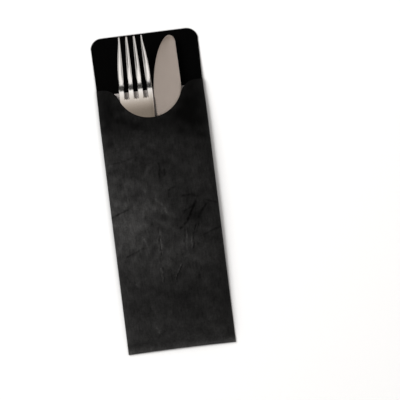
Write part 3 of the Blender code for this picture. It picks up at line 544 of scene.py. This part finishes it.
# The folded sheet: a tube of outer rings with a round nose at each fold, an inner tube, the
# crease line at the bottom, the cut edge of the scoop and the rows of the lip
def makePouch():
    sheet = pouch["sheet"]
    share = np.sin(np.linspace(-1.0, 1.0, pouch["columns"] + 1) * math.pi / 2 * 0.55)
    share = share / share[-1]
    startY = bottomY + sheet
    points = []
    counter = [0]

    def add(x, y, z):
        block = np.stack([np.broadcast_to(x, z.shape), np.broadcast_to(y, z.shape), z], axis=-1)
        points.append(block.reshape(-1, 3))
        indices = np.arange(z.size).reshape(z.shape) + counter[0]
        counter[0] += z.size
        return indices

    def tubeRows(count):
        step = np.linspace(0.0, 1.0, count + 1)[:, None]
        foldY = startY + step * (shoulderY - startY)
        x = share[None, :] * (pouchHalf(foldY) - sheet)
        edge = scoopEdge(x)
        edge[:, [0, -1]] = shoulderY
        frontY = startY + step * (edge - startY)
        hollow = pouch["bottomHollow"] * (1.0 - share[None, :] ** 2) * (1.0 - step) ** 8
        return x, frontY + hollow, foldY + hollow, foldY

    x, frontY, backY, foldY = tubeRows(pouch["rows"])
    frontOut = add(x, frontY, frontOutside(x, frontY))
    backOut = add(x, backY, backOutside(x, backY))
    low = backOutside(x[:, :1], foldY)
    high = frontOutside(x[:, :1], foldY)
    middle = (low + high) / 2
    angles = np.radians([45.0, 0.0, -45.0])[None, :]
    noseZ = middle + (high - low) / 2 * np.sin(angles)
    noseX = pouchHalf(foldY) - sheet + sheet * np.cos(angles)
    noseY = np.broadcast_to(foldY, noseZ.shape)
    rightNose = add(noseX, noseY, noseZ)
    leftNose = add(-noseX[:, ::-1], noseY, noseZ[:, ::-1])
    outerRing = np.concatenate([frontOut, rightNose, backOut[:, ::-1], leftNose], axis=1)

    xIn, frontYIn, backYIn, _ = tubeRows(pouch["innerRows"])
    frontIn = add(xIn, frontYIn, frontInside(xIn, frontYIn))
    backIn = add(xIn, backYIn, backInside(xIn, backYIn))
    innerRing = np.concatenate([frontIn, backIn[:, ::-1]], axis=1)

    creaseX = share * (halfWidth - sheet)
    creaseY = bottomY + pouch["bottomHollow"] * (1.0 - share**2)
    creaseZ = np.full(len(share), 2.0 * sheet + pouch["foldGap"] / 2)
    crease = add(creaseX, creaseY, creaseZ)

    cornerY = lipY - pouch["lipCorner"]
    straight = np.linspace(shoulderY, cornerY, pouch["lipRows"] + 1)[1:]
    turn = np.linspace(0.0, math.pi / 2, pouch["cornerRows"] + 1)[1:]
    roundY = cornerY + pouch["lipCorner"] * np.sin(turn)
    lipRowsY = np.concatenate([straight, roundY])[:, None]
    lipHalf = np.concatenate([pouchHalf(straight) - sheet,
                              halfWidth - pouch["lipCorner"] * (1.0 - np.cos(turn))])[:, None]
    lipX = share[None, :] * lipHalf
    lipYs = np.broadcast_to(lipRowsY, lipX.shape)
    lipOut = np.concatenate([backOut[-1:], add(lipX, lipYs, backOutside(lipX, lipYs))])
    lipIn = np.concatenate([backIn[-1:], add(lipX, lipYs, backInside(lipX, lipYs))])

    outside = [
        gridQuads(outerRing, closed=True),
        gridQuads(np.stack([crease, frontOut[0]])),
        gridQuads(np.stack([crease, backOut[0]]), flip=True),
        gridQuads(lipOut, flip=True),
    ]
    inside = [
        gridQuads(innerRing, closed=True, flip=True),
        gridQuads(np.stack([frontIn[0], backIn[0]])),
        gridQuads(lipIn),
    ]
    edges = [
        gridQuads(np.stack([frontOut[-1], frontIn[-1]])),
        gridQuads(np.stack([lipIn[-1], lipOut[-1]])),
        gridQuads(np.stack([lipOut[:, 0], lipIn[:, 0]])),
        gridQuads(np.stack([lipIn[:, -1], lipOut[:, -1]])),
    ]
    # Small many-sided faces close the ends of the folds, two at the top and two at the crease
    topEnds = [
        [*leftNose[-1], frontOut[-1, 0], frontIn[-1, 0], backIn[-1, 0], backOut[-1, 0]],
        [*rightNose[-1], backOut[-1, -1], backIn[-1, -1], frontIn[-1, -1], frontOut[-1, -1]],
    ]
    creaseEnds = [
        [frontOut[0, 0], *leftNose[0][::-1], backOut[0, 0], crease[0]],
        [backOut[0, -1], *rightNose[0][::-1], frontOut[0, -1], crease[-1]],
    ]
    printed = sum(len(group) for group in outside)
    plain = sum(len(group) for group in inside)
    others = sum(len(group) for group in (*edges, topEnds, creaseEnds))
    kinds = [0] * printed + [1] * plain + [0] * others
    places = np.concatenate(points)
    made = meshObject("pouchSheet", places, [*outside, *inside, *edges, topEnds, creaseEnds],
                      [printPaper, innerPaper], kinds, sharp=40.0)
    paintTone(made, printAndHighlightGrey(places[:, 0], places[:, 1]))
    return made


pouchSheet = makePouch()
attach(pouchSheet, "root")
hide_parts("pouch")


print("glued overlaps on the back")

overlap = {"thickness": 0.2 * mm, "edgeInset": 1.0 * mm, "sink": 0.05 * mm}


# A thin strip of paper on the back: its outline is given by a half width along Y
def makeOverlap(name, halfAt, lowY, highY, across, along):
    y = np.linspace(lowY, highY, along + 1)[:, None]
    x = np.linspace(-1.0, 1.0, across + 1)[None, :] * halfAt(y)
    y = np.broadcast_to(y, x.shape)
    top = np.full_like(x, pouch["sheet"] - 0.01 * mm)
    bottom = np.full_like(x, pouch["sheet"] - overlap["thickness"] - overlap["sink"])
    made = plateObject(name, x, y, top, bottom, np.ones((along, across), bool), printPaper)
    places = np.zeros(len(made.data.vertices) * 3, np.float32)
    made.data.vertices.foreach_get("co", places)
    # Another stretch of the print than the panel under it shows
    paintTone(made, printAndHighlightGrey(places[0::3].astype(float) * 0.7 + 0.004, -places[1::3].astype(float) * 0.9))
    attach(made, "root")
    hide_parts("pouch")
    return made


flapTopY = bottomY + pouch["flap"]
makeOverlap("pouchSeam", lambda y: pouch["seam"] / 2 + 0.0 * y, flapTopY + 0.05 * mm,
            lipY - pouch["sheet"], 12, 120)
makeOverlap("pouchFlap", lambda y: halfWidth - overlap["edgeInset"] * (0.4 + (y - bottomY) / pouch["flap"]),
            bottomY + pouch["bottomHollow"] + 0.3 * mm, flapTopY, 60, 14)


print("napkin")

napkin = {
    "side": 380.0 * mm,
    "panels": 5,
    "layer": 0.2 * mm,
    "ply": 0.11 * mm,
    "clearance": 0.35 * mm,
    "panelCells": 16,
    "foldCells": 6,
    "halfCells": 46,
    "edgeCells": 6,
}


# One square sheet folded in half along its top and then to and fro in five. A centre line
# runs across the panels and round each side fold as half circles of one layer pitch; the
# two halves of the sheet lie half a layer to each side of it, and join in a small half
# circle along the top
def makeNapkin():
    pitch = napkin["layer"]
    width = napkin["side"] / napkin["panels"]
    straightHalf = width / 2 - pitch * 1.5
    centreX = []
    centreZ = []
    normalX = []
    normalZ = []
    for panel in range(napkin["panels"]):
        way = 1.0 if panel % 2 == 0 else -1.0
        run = np.linspace(-straightHalf, straightHalf, napkin["panelCells"] + 1)
        centreX.append(way * run)
        centreZ.append(np.full(len(run), pitch * (1.0 + 2.0 * panel)))
        normalX.append(np.zeros(len(run)))
        normalZ.append(np.full(len(run), way))
        if panel < napkin["panels"] - 1:
            turn = np.linspace(0.0, math.pi, napkin["foldCells"] + 1)[1:-1]
            centreX.append(way * (straightHalf + pitch * np.sin(turn)))
            centreZ.append(pitch * (2.0 + 2.0 * panel - np.cos(turn)))
            normalX.append(-way * np.sin(turn))
            normalZ.append(way * np.cos(turn))
    cx, cz, nx, nz = (np.concatenate(parts)[None, :] for parts in (centreX, centreZ, normalX, normalZ))
    bend = np.linspace(-math.pi / 2, math.pi / 2, napkin["edgeCells"] + 1)
    downY = np.linspace(napkinEndY, napkinTopY - pitch / 2, napkin["halfCells"] + 1)[:-1]
    y = np.concatenate([downY, napkinTopY - pitch / 2 + pitch / 2 * np.cos(bend), downY[::-1]])[:, None]
    side = np.concatenate([-np.ones(len(downY)), np.sin(bend), np.ones(len(downY))])[:, None]
    x = cx + side * nx * pitch / 2
    y = np.broadcast_to(y, x.shape)
    soft = 0.05 * mm * np.sin(x * 170.0 + 0.6) * np.cos(y * 90.0) * (1.0 - (y - napkinEndY) / napkinLength)
    z = backInside(x, y) + napkin["clearance"] + cz + side * nz * pitch / 2 - pitch / 2 + soft
    grid = np.arange(x.size).reshape(x.shape)
    points = np.stack([x, y, z], axis=-1).reshape(-1, 3)
    made = meshObject("napkinSheet", points, [gridQuads(grid)], [tissue], sharp=80.0)
    solid = made.modifiers.new("ply", "SOLIDIFY")
    solid.thickness = napkin["ply"]
    solid.offset = 0.0
    return made


napkinSheet = makeNapkin()
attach(napkinSheet, "root")
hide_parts("napkin")


print("fork")

cutleryZ = 3.1 * mm
fork = {
    "length": 205.0 * mm,
    "tipBelowLip": 1.6 * mm,
    "headX": -11.32 * mm,
    "lean": math.radians(-1.17),
    "endRadius": 9.0 * mm,
    "tineLength": 48.7 * mm,
    "palmLength": 20.0 * mm,
    "shoulderLength": 30.0 * mm,
    "pitchRoot": 7.5 * mm,
    "pitchTip": 5.95 * mm,
    "slotRoot": 3.1 * mm,
    "slotTip": 4.6 * mm,
    "slotCorner": 0.9 * mm,
    "tines": 4,
    "tipRadius": 0.9 * mm,
    "slotBlend": 1.2 * mm,
    "edgeShare": 0.35,
    "headHalf": 13.45 * mm,
    "rim": 1.3 * mm,
    "rimPower": 9,
    "flatPower": 16,
    "roundFrom": 11.0 * mm,
    "roundTo": 24.0 * mm,
    "dish": 0.8 * mm,
    "dishFadeFrom": 10.0 * mm,
    "tineCells": 14,
    "slotCells": 6,
}
forkRoot = fork["length"] - fork["tineLength"]
forkPalm = forkRoot - fork["palmLength"]
forkNeck = forkPalm - fork["shoulderLength"]
# Stations in millimetres along the fork: half width, height of the underside, thickness
forkHalfStations = [(0.0, 10.0), (18.0, 10.0), (85.0, 4.1), (106.3, 3.3), (136.3, 12.8),
                    (156.3, 13.3), (180.65, 12.25), (190.9, 11.15), (205.0, 9.35)]
forkUnderStations = [(0.0, 0.0), (9.0, 0.0), (106.3, 5.2), (136.3, 1.6), (161.2, 0.0), (205.0, 5.8),
                     (212.0, 6.64)]
forkThickStations = [(0.0, 2.6), (53.0, 2.6), (106.3, 3.2), (136.3, 2.2), (156.3, 2.2), (205.0, 1.3)]


# Half the fork's width: its stations, drawn in as a quarter circle at the handle's end
def forkHalf(v):
    return curveThrough(forkHalfStations, v / mm) * mm * roundEnd(v, fork["endRadius"])


# The fork as a bent plate: columns run from the handle's end to the tines' tips, and the
# cells between the tines are left open beyond the slots' ends
def makeFork():
    blend = fork["slotBlend"]
    turn = np.linspace(0.0, math.pi / 2, 15)[:-1]
    rows = np.concatenate([
        fork["endRadius"] * (1.0 - np.cos(turn)),
        np.linspace(fork["endRadius"], forkNeck, 61)[:-1],
        np.linspace(forkNeck, forkPalm, 31)[:-1],
        np.linspace(forkPalm, forkRoot - blend, 27)[:-1],
        np.linspace(forkRoot - blend, forkRoot, 9)[:-1],
        np.linspace(forkRoot, forkRoot + 2.0 * blend, 13)[:-1],
        np.linspace(forkRoot + 2.0 * blend, fork["length"] - fork["tipRadius"], 61)[:-1],
        fork["length"] - fork["tipRadius"] * (1.0 - np.sin(np.linspace(0.0, math.pi / 2, 6))),
    ])
    rows[0] = fork["endRadius"] / 400
    v = rows[:, None]
    rootRow = int(np.argmin(np.abs(rows - forkRoot)))
    along = np.clip((v - forkRoot) / fork["tineLength"], 0.0, 1.0)
    pitch = fork["pitchRoot"] + (fork["pitchTip"] - fork["pitchRoot"]) * along
    halfSlot = (fork["slotRoot"] + (fork["slotTip"] - fork["slotRoot"]) * along**3) / 2
    headHalf = forkHalf(np.maximum(v, forkRoot))
    slots = fork["tines"] - 1
    bounds = [-headHalf]
    for slot in range(slots):
        centre = (slot - (slots - 1) / 2) * pitch
        bounds += [centre - halfSlot, centre + halfSlot]
    bounds.append(headHalf)
    # Blunt round tips: the last millimetre of each tine draws in as a quarter circle
    tipCurve = roundEnd(fork["length"] - v, fork["tipRadius"])
    tipRound = np.maximum(tipCurve, 0.12)
    tineShare = (1.0 - np.cos(np.linspace(0.0, math.pi, fork["tineCells"] + 1))) / 2
    slotShare = np.linspace(0.0, 1.0, fork["slotCells"] + 1)[1:-1]
    fromAxis = 2.0 * tineShare - 1.0
    halfRound = np.sqrt(np.clip(1.0 - fromAxis**2, 0.0, 1.0))
    flat = (1.0 - np.abs(fromAxis) ** fork["flatPower"]) ** 0.5
    columns = []
    roundness = []
    flatness = []
    inSlot = []
    pushed = []
    for tine in range(fork["tines"]):
        low = bounds[2 * tine]
        high = bounds[2 * tine + 1]
        middle = (low + high) / 2
        columns.append(middle + (low - middle + (high - low) * tineShare[None, :]) * tipRound)
        roundness.append(halfRound)
        flatness.append(flat)
        lastTine = tine == fork["tines"] - 1
        inSlot += [False] * (len(tineShare) - 1) + [not lastTine]
        push = np.zeros(len(tineShare))
        push[0] = float(tine > 0)
        push[-1] = float(not lastTine)
        pushed.append(push)
        if not lastTine:
            right = bounds[2 * tine + 2]
            columns.append(high + (right - high) * slotShare[None, :])
            roundness.append(np.zeros(len(slotShare)))
            flatness.append(np.zeros(len(slotShare)))
            inSlot += [True] * len(slotShare)
            pushed.append(np.abs(2.0 * slotShare - 1.0) ** 3)
    u = np.concatenate([np.broadcast_to(c, (len(rows), c.shape[1])) for c in columns], axis=1)
    u = u * np.minimum(forkHalf(v) / headHalf, 1.0)
    half = np.maximum(forkHalf(v), 0.0001 * mm)
    present = np.ones((len(rows) - 1, u.shape[1] - 1), bool)
    present[rootRow:, np.array(inSlot[:-1])] = False
    push = np.concatenate(pushed)[None, :] * fork["slotCorner"]
    vGrid = np.repeat(v, u.shape[1], axis=1) + push * np.exp(-(((v - forkRoot) / blend) ** 2))
    # Edges: rounded over the outline on the palm, along the slots from their ends on, and
    # nearly half round on the tines
    share = fork["edgeShare"]
    fromMiddle = np.clip(np.abs(u) / half, 0.0, 1.0)
    fromRim = np.clip(1.0 - (1.0 - fromMiddle) * fork["headHalf"] / fork["rim"], 0.0, 1.0)
    palmShape = share + (1.0 - share) * np.sqrt(1.0 - fromRim ** fork["rimPower"])
    roundness = np.concatenate(roundness)[None, :]
    flatness = np.concatenate(flatness)[None, :]
    toRound = smoothStep(forkRoot + fork["roundFrom"], forkRoot + fork["roundTo"], v)
    section = flatness * (1.0 - toRound) + roundness * toRound
    tineShape = share + (1.0 - share) * section
    toTines = smoothStep(-0.3 * mm, 1.0 * mm, vGrid - push - forkRoot)
    shape = palmShape * (1.0 - toTines) + tineShape * toTines
    dishEnd = smoothStep(forkRoot + fork["dishFadeFrom"], fork["length"], v)
    dishShare = smoothStep(forkNeck, forkPalm, v) * (1.0 - dishEnd)
    fullThick = curveThrough(forkThickStations, v / mm) * mm
    thick = fullThick * np.maximum(tipCurve, 0.45)
    under = curveThrough(forkUnderStations, v / mm) * mm
    centre = under + fullThick / 2 + fork["dish"] * dishShare * fromMiddle**2
    move = (fork["headX"] + forkRoot * math.sin(fork["lean"]),
            lipY - fork["tipBelowLip"] - fork["length"] * math.cos(fork["lean"]), cutleryZ)
    x, y, top = placed(u, vGrid, centre + shape * thick / 2, fork["lean"], 0.0, move)
    bottom = centre - shape * thick / 2 + move[2]
    return plateObject("forkSteel", x, y, top, bottom, present, forkSteel)


forkPiece = makeFork()
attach(forkPiece, "root")
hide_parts("fork")


print("knife")

knife = {
    "length": 222.0 * mm,
    "tipBelowLip": 4.0 * mm,
    "spineX": 24.3 * mm,
    "lean": math.radians(0.72),
    "bladeWidth": 22.2 * mm,
    "bladeLength": 110.0 * mm,
    "bellyLength": 48.5 * mm,
    "bellyPower": 1.72,
    "peakFromSpine": 4.7 * mm,
    "cornerLength": 5.2 * mm,
    "heelNarrowing": 2.1 * mm,
    "heelLength": 7.0 * mm,
    "spineThick": 1.8 * mm,
    "edgeThick": 0.5 * mm,
    "handleWidth": 18.0 * mm,
    "handleEven": 24.0 * mm,
    "neckWidth": 11.0 * mm,
    "axisFromSpine": 8.6 * mm,
    "handleThick": 6.0 * mm,
    "endThick": 4.2 * mm,
    "neckThick": 4.0 * mm,
    "endRadius": 8.0 * mm,
    "toothPitch": 1.4 * mm,
    "toothDepth": 0.9 * mm,
    "toothPower": 1.3,
    "teethFromTip": 46.0 * mm,
    "cells": 28,
}


# The knife as two faces over one grid: a flat oval for the handle, a wedge for the blade,
# and small round teeth along the cutting edge
def makeKnife():
    heel = knife["length"] - knife["bladeLength"]
    heelEnd = heel + knife["heelLength"]
    belly = knife["length"] - knife["bellyLength"]
    teethEnd = knife["length"] - knife["teethFromTip"]
    turn = np.linspace(0.0, math.pi / 2, 13)[:-1]
    fine = np.arange(heelEnd, teethEnd, knife["toothPitch"] / 6)
    toTip = (teethEnd - belly) / knife["bellyLength"]
    rows = np.concatenate([
        knife["endRadius"] * (1.0 - np.cos(turn)),
        np.linspace(knife["endRadius"], heel, 41)[:-1],
        np.linspace(heel, heelEnd, 17)[:-1],
        fine,
        belly + knife["bellyLength"] * np.sin(np.linspace(math.asin(toTip), math.pi / 2, 71)),
    ])
    rows[0] = knife["endRadius"] / 400
    rows[-1] = knife["length"] - knife["cornerLength"] / 500
    v = rows[:, None]
    intoBlade = smoothStep(heel, heelEnd, v)
    half = curveThrough([(0.0, knife["handleWidth"] / 2), (knife["handleEven"], knife["handleWidth"] / 2),
                         (heel, knife["neckWidth"] / 2), (knife["length"], knife["neckWidth"] / 2)], v)
    half = half * roundEnd(v, knife["endRadius"])
    bellyShare = np.clip((v - belly) / knife["bellyLength"], 0.0, 1.0)
    reach = (1.0 - bellyShare ** knife["bellyPower"]) ** (1.0 / knife["bellyPower"])
    narrowing = np.clip((belly - v) / (belly - heel), 0.0, 1.0) ** 2 * knife["heelNarrowing"]
    peak = knife["peakFromSpine"]
    edge = peak + (knife["bladeWidth"] - peak) * reach - narrowing
    inTeeth = smoothStep(heelEnd, heelEnd + 3 * mm, v) * (1.0 - smoothStep(teethEnd - 2 * mm, teethEnd, v))
    bite = np.abs(np.sin(v / knife["toothPitch"] * math.pi)) ** knife["toothPower"]
    edge = edge - knife["toothDepth"] * inTeeth * (1.0 - bite)
    corner = np.clip((v - knife["length"] + knife["cornerLength"]) / knife["cornerLength"], 0.0, 1.0)
    spine = -peak * (1.0 - np.sqrt(1.0 - corner * corner))
    axis = -knife["axisFromSpine"]
    left = (axis - half) * (1.0 - intoBlade) - edge * intoBlade
    right = (axis + half) * (1.0 - intoBlade) + spine * intoBlade
    share = ((1.0 - np.cos(np.linspace(0.0, math.pi, knife["cells"] + 1))) / 2)[None, :]
    u = left + (right - left) * share
    handleThick = curveThrough([(0.0, knife["endThick"]), (heel / 2, knife["handleThick"]),
                                (heel, knife["neckThick"]), (knife["length"], knife["neckThick"])], v)
    oval = np.sqrt(np.clip(1.0 - (2.0 * share - 1.0) ** 2, 0.0, None))
    oval = np.maximum(oval, knife["edgeThick"] / knife["handleThick"])
    fromTip = np.sqrt(np.clip((knife["length"] - v) / (4 * mm), 0.0, 1.0))
    spineThick = knife["spineThick"] * (0.6 + 0.4 * fromTip)
    wedge = knife["edgeThick"] + (spineThick - knife["edgeThick"]) * np.clip(share * 1.6, 0.0, 1.0) ** 0.8
    softBack = 1.0 - 0.15 * smoothStep(0.9, 1.0, share) - 0.25 * smoothStep(0.985, 1.0, share)
    thick = handleThick * oval * (1.0 - intoBlade) + wedge * softBack * intoBlade
    centre = np.full_like(thick, knife["handleThick"] / 2)
    drop = (knife["handleThick"] - knife["spineThick"]) / 2
    tilt = math.atan2(drop, knife["length"] - heel / 2)
    move = (knife["spineX"] + knife["length"] * math.sin(knife["lean"]),
            lipY - knife["tipBelowLip"] - knife["length"] * math.cos(knife["lean"]),
            cutleryZ + heel / 2 * math.sin(tilt))
    vGrid = np.repeat(v, u.shape[1], axis=1)
    x, y, top = placed(u, vGrid, centre + thick / 2, knife["lean"], -tilt, move)
    bottom = top - thick * math.cos(tilt)
    present = np.ones((len(rows) - 1, u.shape[1] - 1), bool)
    return plateObject("knifeSteel", x, y, top, bottom, present, knifeSteel)


knifePiece = makeKnife()
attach(knifePiece, "root")
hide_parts("knife")


print("floor, light and camera")

studio = {
    "floorSize": 3.0,
    "floorColour": 0.86,
    "floorGlow": 0.13,
    "contactReach": 5.0 * mm,
    "keyPower": 112.0,
    "keySize": 1.5,
    "keyPlace": (-1.9, 1.55, 1.6),
    "worldLevel": 0.95,
    "horizon": 0.75,
}


# A pale floor with a painted contact shadow: its colour and glow get darker close to the pouch, by how much
# of the sky the pouch hides
def makeFloor():
    half = studio["floorSize"] / 2
    corners = [(-half, -half, 0.0), (half, -half, 0.0), (half, half, 0.0), (-half, half, 0.0)]
    material, board, place = newMaterial("paleFloor")
    grain = board.noise(place, 40.0, 2.0)
    # Painted contact shadow: ambient occlusion darkens the floor's colour and its glow
    openSky = board.node("ShaderNodeAmbientOcclusion", {"samples": 16},
                         {"Distance": studio["contactReach"]}, out=1)
    shade = (studio["floorColour"] + (grain - 0.5) * 0.004) * openSky
    colour = board.node("ShaderNodeCombineColor", None, {0: shade, 1: shade, 2: shade})
    seen = board.node("ShaderNodeLightPath", out=0)
    matte = board.node("ShaderNodeBsdfDiffuse", None, {"Color": colour})
    glow = board.node("ShaderNodeEmission", None, {"Strength": seen * openSky * studio["floorGlow"]})
    board.finishWith(board.node("ShaderNodeAddShader", None, {0: matte, 1: glow}))
    floor = meshObject("floor", corners, [[[0, 1, 2, 3]]], [material])
    floor.location.z = -0.02 * mm
    return floor


# Each pair is where a ramp starts and where it is full, along one direction of the room
room = {
    "tipWindow": (0.042, 0.056),
    "tipDim": (0.195, 0.24),
    "tipDimDepth": 0.72,
    "slant": 0.08,
    "palmWindow": (0.024, 0.036),
    "palmDim": (0.065, 0.21),
    "palmDimDepth": 0.83,
    "sideDim": (0.16, 0.40),
    "sideDimDepth": 0.6,
    "gap": 0.045,
    "overhead": (0.45, 0.8),
    "white": (1.0, 0.985, 0.97, 1.0),
    "warm": (1.0, 0.85, 0.70, 1.0),
}


# The room as the steel sees it: a dark gap straight above, a bright window on the side of
# the tips and one on the side of the handles that falls off to a dim wall
def makeWorld():
    world = bpy.data.worlds.new("studioRoom")
    bpy.context.scene.world = world
    board = Board(world)
    direction = board.node("ShaderNodeTexCoord", out=0)
    alongY = board.node("ShaderNodeSeparateXYZ", None, {0: direction}, out=1)
    upward = board.node("ShaderNodeSeparateXYZ", None, {0: direction}, out=2)
    alongX = board.node("ShaderNodeSeparateXYZ", None, {0: direction}, out=0)
    sideways = board.node("ShaderNodeMath", {"operation": "ABSOLUTE"}, {0: alongX})
    tipSide = board.rampUp(0.0 - alongY, *room["tipWindow"])
    slant = (board.rampUp(alongX, -0.08, 0.05) - 0.5) * room["slant"]
    tipFall = board.rampUp(0.0 - alongY - slant, *room["tipDim"])
    palmSide = board.rampUp(alongY, *room["palmWindow"])
    palmStart, palmEnd = room["palmDim"]
    palmFall = board.node("ShaderNodeMapRange", None,
                          {"Value": alongY, "From Min": palmStart, "From Max": palmEnd})
    sideFall = board.rampUp(sideways, *room["sideDim"])
    high = board.rampUp(upward, *room["overhead"])
    bright = (tipSide * (1.0 - tipFall * room["tipDimDepth"])
              + palmSide * (1.0 - palmFall * room["palmDimDepth"]))
    near = (room["gap"] + bright) * (1.0 - sideFall * room["sideDimDepth"])
    level = high * near + (1.0 - high) * studio["horizon"]
    colour = board.mixColour(palmFall * high, room["white"], room["warm"])
    light = board.node("ShaderNodeBackground", None, {"Color": colour,
                                                     "Strength": level * studio["worldLevel"]})
    board.finishWith(light, "ShaderNodeOutputWorld")


# One large lamp from the tips' left side, turned towards the middle of the floor
def makeKeyLight():
    lamp = bpy.data.lights.new("softKey", "AREA")
    lamp.shape = "SQUARE"
    lamp.size = studio["keySize"]
    lamp.energy = studio["keyPower"]
    made = bpy.data.objects.new("softKey", lamp)
    made.location = studio["keyPlace"]
    made.visible_glossy = False
    away = -np.array(studio["keyPlace"])
    flat = math.hypot(away[0], away[1])
    made.rotation_euler = (math.atan2(flat, -away[2]), 0.0, math.atan2(away[1], away[0]) - math.pi / 2)
    bpy.context.scene.collection.objects.link(made)


# Straight above, turned so that the pouch leans as in the photograph
camera = {"lens": 200.0, "sensor": 36.0, "field": 314.3 * mm, "x": 28.28 * mm, "y": -10.72 * mm,
          "turn": math.radians(-7.13), "planeZ": 4.0 * mm}


def makeCamera():
    data = bpy.data.cameras.new("camera")
    data.lens = camera["lens"]
    data.sensor_width = camera["sensor"]
    made = bpy.data.objects.new("camera", data)
    height = camera["field"] * camera["lens"] / camera["sensor"]
    made.location = (camera["x"], camera["y"], camera["planeZ"] + height)
    made.rotation_euler = (0.0, 0.0, camera["turn"])
    bpy.context.scene.collection.objects.link(made)
    bpy.context.scene.camera = made


makeFloor()
makeWorld()
makeKeyLight()
makeCamera()
bpy.context.scene.view_settings.view_transform = "Standard"
